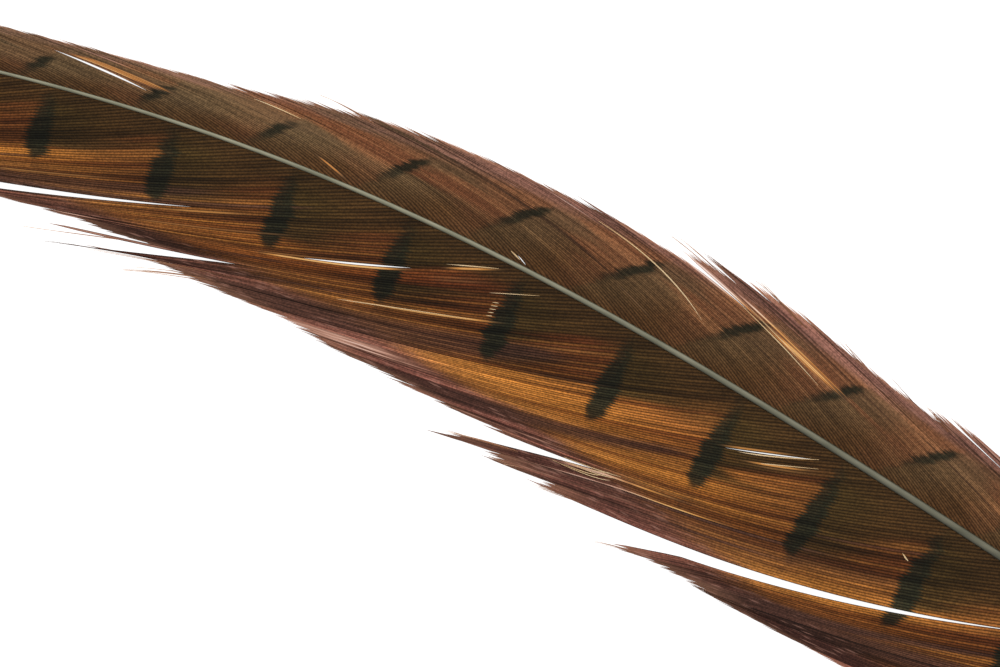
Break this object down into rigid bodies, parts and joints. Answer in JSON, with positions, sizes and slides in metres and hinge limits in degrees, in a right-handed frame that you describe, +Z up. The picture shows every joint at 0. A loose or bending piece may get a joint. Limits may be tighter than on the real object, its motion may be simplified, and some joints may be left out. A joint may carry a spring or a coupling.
{
  "type": "pheasant tail feather",
  "caption": "Barred brown pheasant tail feather lying flat: a curved tapering shaft, a wide and a narrow vane parted into locks, and a bare quill.",
  "frame": {"origin": "on the flat underside of the shaft, 210 mm from the end of the quill, where the feather rests on the surface", "axes": "+X from the quill towards the tip, +Y on the side of the wide vane, +Z up off the surface it lies on"},
  "size_m": [0.4103, 0.0632, 0.0045],
  "materials": {
    "barbs": "matte brown keratin barbs, barred black, glowing amber and rust between the bars",
    "shaft": "smooth satin horn, grey-green above, paler towards the quill",
    "down": "soft grey-brown down"
  },
  "bodies": {
    "root": {"feather": "barbs"}
  },
  "joints": []
}
